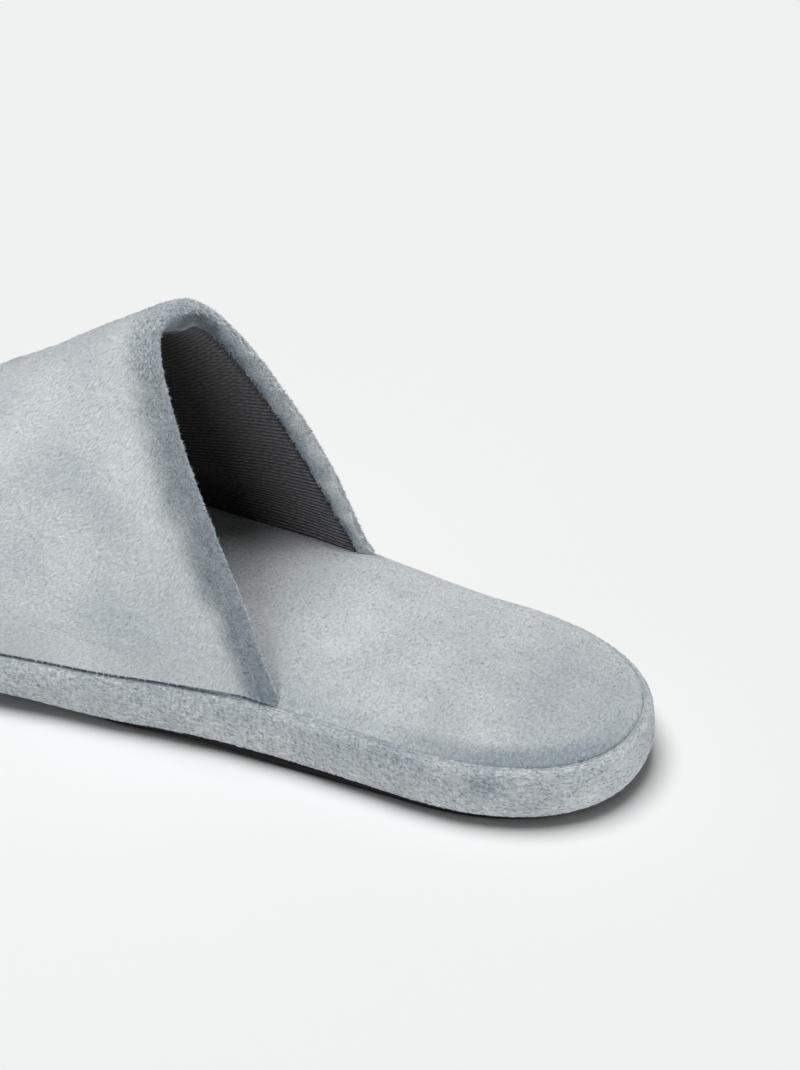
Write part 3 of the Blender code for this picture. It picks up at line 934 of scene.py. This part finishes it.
# %% Lining knit
# The rib valleys are near black: painted shade in the hollows between the ribs.
RIB_CREST = (0.106, 0.106, 0.110, 1.0)
RIB_VALLEY_PAINTED_SHADE = (0.006, 0.006, 0.007, 1.0)
KNIT_ROUGHNESS = 0.85
KNIT_BUMP = (0.8, 0.0004)
KNIT_SPECULAR = 0.2
KNIT_SHEEN = 0.10
YARN_SIZE = 0.0009
YARN_STRETCH = (1.6, 0.5, 1.0)
YARN_RANGE = (0.3, 0.7)
YARN_TONES = (0.40, 1.55)

lining_knit, tree, shader = plain_shader("charcoal_rib_knit", KNIT_ROUGHNESS)
yarn = cloth_noise(tree, attribute(tree, "cloth", "Vector"), YARN_STRETCH, YARN_SIZE)
knit_color = blend_colors(tree, attribute(tree, "rib"), RIB_VALLEY_PAINTED_SHADE, RIB_CREST)
knit_color = times(tree, knit_color, spread(tree, yarn, *YARN_RANGE, *YARN_TONES))
surface(tree, shader, knit_color, yarn, KNIT_BUMP, KNIT_SPECULAR)
shader.inputs["Sheen Weight"].default_value = KNIT_SHEEN
lining.data.materials.append(lining_knit)
store(lining, "rib", there_and_back(np.zeros_like(rib_wave), rib_wave))
lining_map = np.dstack([arc_lengths(wall_face, 0), height_on_wall, np.zeros_like(height_on_wall)]) * MM
store(lining, "cloth", there_and_back(lining_map, lining_map), "FLOAT_VECTOR")
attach(lining, "root")

# %% [markdown]
# ## The wrapped platform
# A strip of velour is pulled round the foam sole and sewn to the insole at its top.  A bevelled block would
# do, but the real side swells a little, so a section of inset and height is swept round the outline.  Under
# the upper the section tucks in, and a hidden ridge closes the gap to it; behind the collar it stands up to
# the seam.  The lower edge is drawn up at the forefoot and sags at the waist.

# %% Sections swept round the outline
SECTION_COLUMNS = ("inset", "height")
INSOLE_OPEN_Y = (110.0, 88.0)
WRAP_OPEN_Y = (118.0, 96.0)
GROOVE_INSET = 3.3
GROOVE_REACH = 0.7
GROOVE_DEPTH = 0.9
GROOVE_END_Y = 44.0
GROOVE_HEIGHTS = (16.5, 18.0)


def section_curve(rows, steps):
    """A smooth curve through a section's rows, with equal steps from each row to the next."""
    inset = column(rows, SECTION_COLUMNS, "inset")
    height = column(rows, SECTION_COLUMNS, "height")
    reach = np.concatenate([[0.0], np.cumsum(np.hypot(np.diff(inset), np.diff(height)))])
    at = np.interp(np.arange((len(rows) - 1) * steps + 1) / steps, np.arange(len(rows)), reach)
    return smooth_through(reach, inset, at), smooth_through(reach, height, at), at


def sweep(covered_rows, open_rows, steps, open_y):
    """Sections swept round the outline, mixed from covered to open over open_y, with a heel groove."""
    covered_inset, covered_height, at = section_curve(covered_rows, steps)
    open_inset, open_height, _ = section_curve(open_rows, steps)
    bare = ease(sole_ring[:, 1], *open_y)
    inset = covered_inset[:, None] * (1 - bare) + open_inset[:, None] * bare
    height = covered_height[:, None] * (1 - bare) + open_height[:, None] * bare
    round_heel = 1 - ease(sole_ring[:, 1], 0.0, GROOVE_END_Y)
    groove = ease(height, *GROOVE_HEIGHTS) * bell(inset, GROOVE_INSET, GROOVE_REACH)
    height = height - GROOVE_DEPTH * round_heel * groove
    flat = sole_ring[None] - inset[..., None] * sole_outward[None]
    return np.dstack([flat, height + floor_rise(flat[..., 1])]), at


def sole_map(at):
    """Cloth map of a swept stack: distance from the heel round either side, and distance up the section."""
    step = np.linalg.norm(np.diff(sole_ring, axis=0, append=sole_ring[:1]), axis=1)
    travelled = np.cumsum(step) - step
    mirrored = np.minimum(travelled, step.sum() - travelled)
    grid = np.broadcast_arrays(mirrored[None, :], at[:, None], np.zeros((1, 1)))
    return np.stack(grid, axis=-1) * MM


def closed(grid):
    """A ring grid with its first column repeated at the end."""
    return np.concatenate([grid, grid[:, :1]], axis=1)


# %% Wrapped platform
PLATFORM_SIDE_ROWS = (
    (9.0, 2.8),
    (3.4, 2.8),
    (1.6, 3.9),
    (0.4, 6.4),
    (0.0, 9.6),
)
PLATFORM_ROWS = PLATFORM_SIDE_ROWS + (
    (0.3, 12.6),
    (1.2, 15.2),
    (2.6, 17.1),
    (4.1, 17.1),
    (4.6, 19.0),
    (5.2, 19.0),
    (5.3, 15.0),
    (9.0, 15.0),
)
PLATFORM_OPEN_ROWS = PLATFORM_SIDE_ROWS + (
    (0.15, 13.0),
    (0.5, 16.0),
    (1.2, 18.0),
    (2.1, 18.7),
    (2.7, 18.9),
    (3.22, 19.0),
    (3.33, 15.0),
    (9.0, 15.0),
)
WRAP_STEPS = 5
WRAP_LUMPS = (0.25, 22.0, 7)
WRAP_LUMP_FROM = (4.0, 7.0)
WRAP_LUMP_TO = (15.0, 17.5)
FAR_SHOULDER_DROP = 1.1
FAR_SHOULDER_X = (0.0, 25.0)
FAR_SHOULDER_HEIGHTS = (14.5, 18.0)
TUCK_RISE = 1.6
TUCK_Y = (140.0, 175.0)
WAIST_SAG = 1.2
LOWER_EDGE_INSETS = (4.5, 9.0)
LOWER_EDGE_HEIGHTS = (3.5, 10.0)
WRAP_NAP = 0.37
WRAP_NAP_NOISE = (0.10, 16.0, 11)
# Painted shade in the groove under the upper's foot, allowed past full darkness up to DARKEST.
PAINTED_GROOVE_SHADE = 0.7
GROOVE_SHADE_END_Y = (97.0, 92.0)
GROOVE_SHADE_INSETS = (2.2, 3.2)
GROOVE_SHADE_HEIGHTS = (15.0, 16.5)
DARKEST = 2.0

# Darker places of the near side's wrap: millimetres from the heel, millimetres up, and strength.
WRAP_NAP_ROWS = (
    (32.0, 4.5, 14.5, 3.5, 0.40),
    (58.0, 9.0, 17.0, 2.5, 0.25),
    (103.0, 12.0, 16.0, 2.5, 0.22),
    (24.0, 14.0, 5.0, 2.5, -0.10),
)

wrap_rings, wrap_at = sweep(PLATFORM_ROWS, PLATFORM_OPEN_ROWS, WRAP_STEPS, WRAP_OPEN_Y)
far_open = ease(wrap_rings[..., 0], *FAR_SHOULDER_X) * ease(wrap_rings[..., 1], *WRAP_OPEN_Y)
wrap_rings[..., 2] -= FAR_SHOULDER_DROP * far_open * ease(wrap_rings[..., 2], *FAR_SHOULDER_HEIGHTS)
wrap_inset = np.linalg.norm(wrap_rings[..., :2] - sole_ring, axis=-1)
lower_edge = 1 - ease(wrap_inset, *LOWER_EDGE_INSETS)
lower_edge = lower_edge * (1 - ease(wrap_rings[..., 2], *LOWER_EDGE_HEIGHTS))
sag = WAIST_SAG * hump(wrap_rings[..., 1], HEEL_FLAT_END_Y, FOREFOOT_FLAT_START_Y)
wrap_rings[..., 2] += (TUCK_RISE * ease(wrap_rings[..., 1], *TUCK_Y) - sag) * lower_edge
wrap_out = grid_normals(closed(wrap_rings))[:, :-1]
wrap_out *= np.sign((wrap_out[..., :2] * sole_outward).sum())
wrap_side = ease(wrap_rings[..., 2], *WRAP_LUMP_FROM) * (1 - ease(wrap_rings[..., 2], *WRAP_LUMP_TO))
wrap_rings = wrap_rings + (wrap_side * soft_noise(wrap_rings, *WRAP_LUMPS))[..., None] * wrap_out
wrap = ring_loft("platform_velour_wrap", wrap_rings, across_foot)
near_side = sole_ring[:, 0] < 0
wrap_dark = WRAP_NAP + soft_noise(wrap_rings, *WRAP_NAP_NOISE)
wrap_dark = wrap_dark + near_side * soft_marks(WRAP_NAP_ROWS, wrap_rings[..., 1], wrap_rings[..., 2])
# Painted shade in the groove beneath the upper's edge.
under_upper = 1 - ease(wrap_rings[..., 1], *GROOVE_SHADE_END_Y)
in_groove = ease(wrap_inset, *GROOVE_SHADE_INSETS) * ease(wrap_rings[..., 2], *GROOVE_SHADE_HEIGHTS)
wrap_dark = np.clip(wrap_dark + PAINTED_GROOVE_SHADE * under_upper * in_groove, 0.0, DARKEST)
wrap_map = sole_map(wrap_at)
wear(wrap, wrap_velour, wrap_dark, wrap_map)
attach(wrap, "root")
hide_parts("sole_platform")

# %% Pile of the wrap
WRAP_PILE = (38000, 47, 0.8, 0.32, 0.26, 0.25, 0.65, 1.6, 1.00)
WRAP_LEAN = np.array([0.0, 0.0, -0.25])
WRAP_PILE_FROM = 2.9
WRAP_PILE_INSET = 3.3

wrap_round = unit(np.roll(wrap_rings, -1, axis=1) - np.roll(wrap_rings, 1, axis=1))
wrap_fields = {
    "points": closed(wrap_rings),
    "normals": closed(wrap_out),
    "lean": closed(wrap_round + WRAP_LEAN),
    "dark": closed(wrap_dark)[..., None],
    "cloth": closed(wrap_map),
}
wrap_height = wrap_rings[..., 2] - floor_rise(wrap_rings[..., 1])
wrap_seen = (wrap_height > WRAP_PILE_FROM) & (wrap_inset < WRAP_PILE_INSET)
wrap_density = closed(wrap_seen.astype(float))
pile("platform_wrap_pile", wrap_velour, wrap_fields, wrap_density, WRAP_PILE)

# %% [markdown]
# ## The insole
# The footbed is a thin pad in velour, sewn to the wrap.  Its edge is rolled and its middle is nearly flat.
# An extruded outline with a bevel would bunch its faces at the heel, so the edge is a swept section again,
# and its last ring shrinks towards a line down the middle for the top.

# %% Insole
INSOLE_EDGE_ROWS = (
    (9.0, 15.3),
    (5.8, 15.3),
    (5.4, 15.8),
    (5.4, 17.4),
    (5.9, 18.5),
    (7.6, 20.0),
    (11.0, 21.0),
)
INSOLE_OPEN_ROWS = (
    (9.0, 15.3),
    (3.9, 15.3),
    (3.40, 15.8),
    (3.35, 18.7),
    (3.8, 19.3),
    (5.6, 20.3),
    (11.0, 21.4),
)
INSOLE_STEPS = 5
TOP_ROWS = 36
TOP_END_SHARE = 0.985
TOP_CROWN = 0.9
INSOLE_LUMPS = (0.22, 40.0, 5)
INSOLE_LUMP_HEIGHTS = (18.5, 20.5)

edge_rings, edge_at = sweep(INSOLE_EDGE_ROWS, INSOLE_OPEN_ROWS, INSOLE_STEPS, INSOLE_OPEN_Y)
edge_height = edge_rings[-1, :, 2] - floor_rise(edge_rings[-1, :, 1])
core = np.stack([spine_x(sole_ring[:, 1]), np.clip(sole_ring[:, 1], HEEL_SEAT_Y, BALL_Y)], axis=1)
share = np.linspace(0.0, TOP_END_SHARE, TOP_ROWS)[1:, None, None]
top_flat = edge_rings[-1][None, :, :2] * (1 - share) + core[None] * share
top_height = edge_height + TOP_CROWN * (1 - (1 - share[..., 0]) ** 2)
top_rings = np.dstack([top_flat, top_height + floor_rise(top_flat[..., 1])])
insole_rings = np.concatenate([edge_rings, top_rings])
on_top = ease(insole_rings[..., 2], *INSOLE_LUMP_HEIGHTS)
insole_rings[..., 2] += soft_noise(insole_rings, *INSOLE_LUMPS) * on_top
insole = ring_loft("insole_velour_pad", insole_rings, across_foot)

# %% Nap of the insole
INSOLE_NAP = 0.16
INSOLE_NAP_NOISE = (0.05, 14.0, 12)
SEAM_HEIGHT = 17.8
UNDER_EDGE = 0.2
SEAM_NAP = 0.72
SEAM_BAND = (2.0, 9.0)
SEAM_PALER = 0.55
SEAM_PALER_Y = (30.0, 70.0)
SEAM_X = (-24.0, 6.0)

# Darker and paler places of the footbed: millimetres from the heel, millimetres from the middle, and
# strength.
INSOLE_NAP_ROWS = (
    (12.0, 26.0, 0.0, 30.0, 0.41),
    (29.0, 5.0, -2.0, 18.0, 0.10),
    (52.0, 5.0, -14.0, 12.0, 0.12),
    (60.0, 30.0, 24.0, 16.0, -0.10),
    (90.0, 14.0, 8.0, 14.0, -0.08),
    (74.0, 5.0, -6.0, 14.0, 0.08),
    (88.0, 12.0, -26.0, 12.0, 0.24),
    (48.0, 10.0, -24.0, 9.0, 0.14),
)

from_seam_height = np.abs(edge_rings[:, 0, 2] - SEAM_HEIGHT)
from_seam_height[edge_at < edge_at[-1] * UNDER_EDGE] = np.inf
insole_along = arc_lengths(insole_rings, 0)
from_seam = insole_along - insole_along[np.argmin(from_seam_height)]
heel_part = 1 - SEAM_PALER * ease(insole_rings[..., 1], *SEAM_PALER_Y)
near_part = 1 - ease(insole_rings[..., 0], *SEAM_X)
insole_dark = INSOLE_NAP + soft_noise(insole_rings, *INSOLE_NAP_NOISE)
insole_dark = insole_dark + soft_marks(INSOLE_NAP_ROWS, insole_rings[..., 1], insole_rings[..., 0])
insole_dark = insole_dark + SEAM_NAP * heel_part * near_part * (1 - ease(from_seam, *SEAM_BAND))
insole_dark = np.clip(insole_dark, 0.0, 1.0)
insole_map = np.dstack([insole_rings[..., :2], np.zeros(insole_dark.shape)]) * MM
wear(insole, insole_velour, insole_dark, insole_map)
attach(insole, "root")
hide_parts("insole")
print("darkness of the insole's nap:", round(insole_dark.mean(), 2), "on average")

# %% Pile of the insole
INSOLE_PILE = (38000, 53, 0.8, 0.28, 0.20, 0.35, 0.40, 1.6, 0.70)
INSOLE_LEAN = np.array([-0.4, -1.0, 0.0])
PILE_FADE_Y = (130.0, 165.0)
SEAM_TUFT_REACH = 1.3
SEAM_TUFT_DENSITY = 5.0
SEAM_TUFT_LEAN = 3.0

insole_out = grid_normals(closed(insole_rings))[:, :-1]
insole_out *= np.sign(insole_out[-1, :, 2].sum())
along_seam = (np.abs(from_seam) < SEAM_TUFT_REACH) & (insole_rings[..., 1] > GROOVE_END_Y)
seam_outward = np.concatenate([sole_outward, np.zeros((len(sole_outward), 1))], axis=1)
insole_fields = {
    "points": closed(insole_rings),
    "normals": closed(insole_out),
    "lean": closed(INSOLE_LEAN + SEAM_TUFT_LEAN * along_seam[..., None] * seam_outward),
    "dark": closed(insole_dark)[..., None],
    "cloth": closed(insole_map),
}
insole_seen = (from_seam > 0) + SEAM_TUFT_DENSITY * along_seam
insole_seen = insole_seen * (1 - ease(insole_rings[..., 1], *PILE_FADE_Y))
pile("insole_pile", insole_velour, insole_fields, closed(insole_seen), INSOLE_PILE)

# %% [markdown]
# ## The outsole
# A thin dark sheet closes the underside.  Only its edge shows in the photo, so its tread is a plain one:
# low chevron ribs.  A bump would not show in an outline, so the sheet is a cross-section carried from heel
# to toe, with a wave on its lower face.  On the inner side it is cut in at the forefoot and let out at the
# waist, where more of its near-black edge shows beneath the wrap, partly as painted shade.

# %% Outsole
SHEET_INSET = 3.5
FOREFOOT_INSET = 4.0
FOREFOOT_INSET_Y = (130.0, 170.0)
# Let out at the waist so that more of the near-black edge shows beneath the wrap, partly as painted shade.
WAIST_OUTSET = 1.6
WAIST_OUTSET_Y = (45.0, 150.0)
SHEET_THICK = 2.5
SHEET_ROWS = 640
SHEET_ENDS = (0.01, 0.99)
SHEET_POINTS = 13
TREAD_PITCH = 3.4
TREAD_DEPTH = 0.6
TREAD_END_POWER = 8
CHEVRON = 0.35
EDGE_LIFT = 0.5
EDGE_LIFT_POWER = 16
LEAST_HALF_WIDTH = 0.5

sheet_share = (1 - np.cos(np.pi * np.linspace(*SHEET_ENDS, SHEET_ROWS))) / 2
sheet_y = (SHEET_INSET + (LENGTH - 2 * SHEET_INSET) * sheet_share)[:, None]
across = np.linspace(-1.0, 1.0, SHEET_POINTS)[None, :]
sole_y = LENGTH * sheet_share
inner_inset = SHEET_INSET + FOREFOOT_INSET * ease(sole_y, *FOREFOOT_INSET_Y)
inner_inset = inner_inset - WAIST_OUTSET * hump(sole_y, *WAIST_OUTSET_Y)
outer_half = np.maximum(half_width(sole_y, "outer") - SHEET_INSET, LEAST_HALF_WIDTH)[:, None]
inner_half = np.maximum(half_width(sole_y, "inner") - inner_inset, LEAST_HALF_WIDTH)[:, None]
sheet_x = spine_x(sheet_y) + across * np.where(across > 0, outer_half, inner_half)
tread = 0.5 + 0.5 * np.cos(2 * np.pi * (sheet_y - CHEVRON * np.abs(sheet_x)) / TREAD_PITCH)
under = TREAD_DEPTH * tread**2 * (1 - np.abs(across) ** TREAD_END_POWER)
under = under + EDGE_LIFT * np.abs(across) ** EDGE_LIFT_POWER
sheet_flat = np.dstack([sheet_x, np.broadcast_to(sheet_y, sheet_x.shape)])
lower = np.dstack([sheet_flat, under + floor_rise(sheet_flat[..., 1])])
upper_side = np.dstack([sheet_flat, SHEET_THICK + floor_rise(sheet_flat[..., 1])])
outsole = ring_loft("outsole_tread_sheet", there_and_back(lower, upper_side), across_wall)

# %% Outsole rubber
# Charcoal rubber darkened near black: partly its own colour, partly painted shade under the wrap's edge.
RUBBER_AND_SHADE_DARK = (0.007, 0.007, 0.008, 1.0)
RUBBER_AND_SHADE_PALE = (0.016, 0.016, 0.018, 1.0)
RUBBER_ROUGHNESS = 0.8
RUBBER_BUMP = (0.5, 0.0003)
RUBBER_SPECULAR = 0.1
DUST_SIZE = 0.004
DUST_DETAIL = 3.0

rubber, tree, shader = plain_shader("charcoal_rubber_and_painted_shade", RUBBER_ROUGHNESS)
body = add_node(tree, "ShaderNodeTexCoord").outputs["Object"]
dust = cloth_noise(tree, body, EVEN, DUST_SIZE, DUST_DETAIL)
surface(tree, shader, blend_colors(tree, dust, RUBBER_AND_SHADE_DARK, RUBBER_AND_SHADE_PALE), dust, RUBBER_BUMP, RUBBER_SPECULAR)
outsole.data.materials.append(rubber)
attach(outsole, "root")
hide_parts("outsole")

# %% [markdown]
# ## The floor
# The slipper stands on pale paper that runs past the picture's edges.  A curved backdrop could be built,
# but the photo looks down on its flat part alone, so one large sheet does.  The fills are flagged off it,
# which keeps it as even as the photo's.

# %% Floor
FLOOR_SIZE = 40.0
FLOOR_COLOR = (0.890, 0.900, 0.897, 1.0)
PAPER_ROUGHNESS = 0.95
FLAGGED_LIGHTS = ("near_fill", "heel_fill")

bpy.ops.mesh.primitive_grid_add(x_subdivisions=4, y_subdivisions=4, size=FLOOR_SIZE)
floor = bpy.context.object
floor.name = "studio_floor"
paper, _, shader = plain_shader("pale_paper", PAPER_ROUGHNESS)
shader.inputs["Base Color"].default_value = FLOOR_COLOR
shader.inputs["Specular IOR Level"].default_value = 0.0
floor.data.materials.append(paper)
floor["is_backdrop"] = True

flagged = bpy.data.collections.new("flagged_floor")
flagged.objects.link(floor)
flagged.collection_objects[0].light_linking.link_state = "EXCLUDE"
for name in FLAGGED_LIGHTS:
    bpy.data.objects[name].light_linking.receiver_collection = flagged
print("floor:", FLOOR_SIZE, "m wide, flagged from", FLAGGED_LIGHTS)
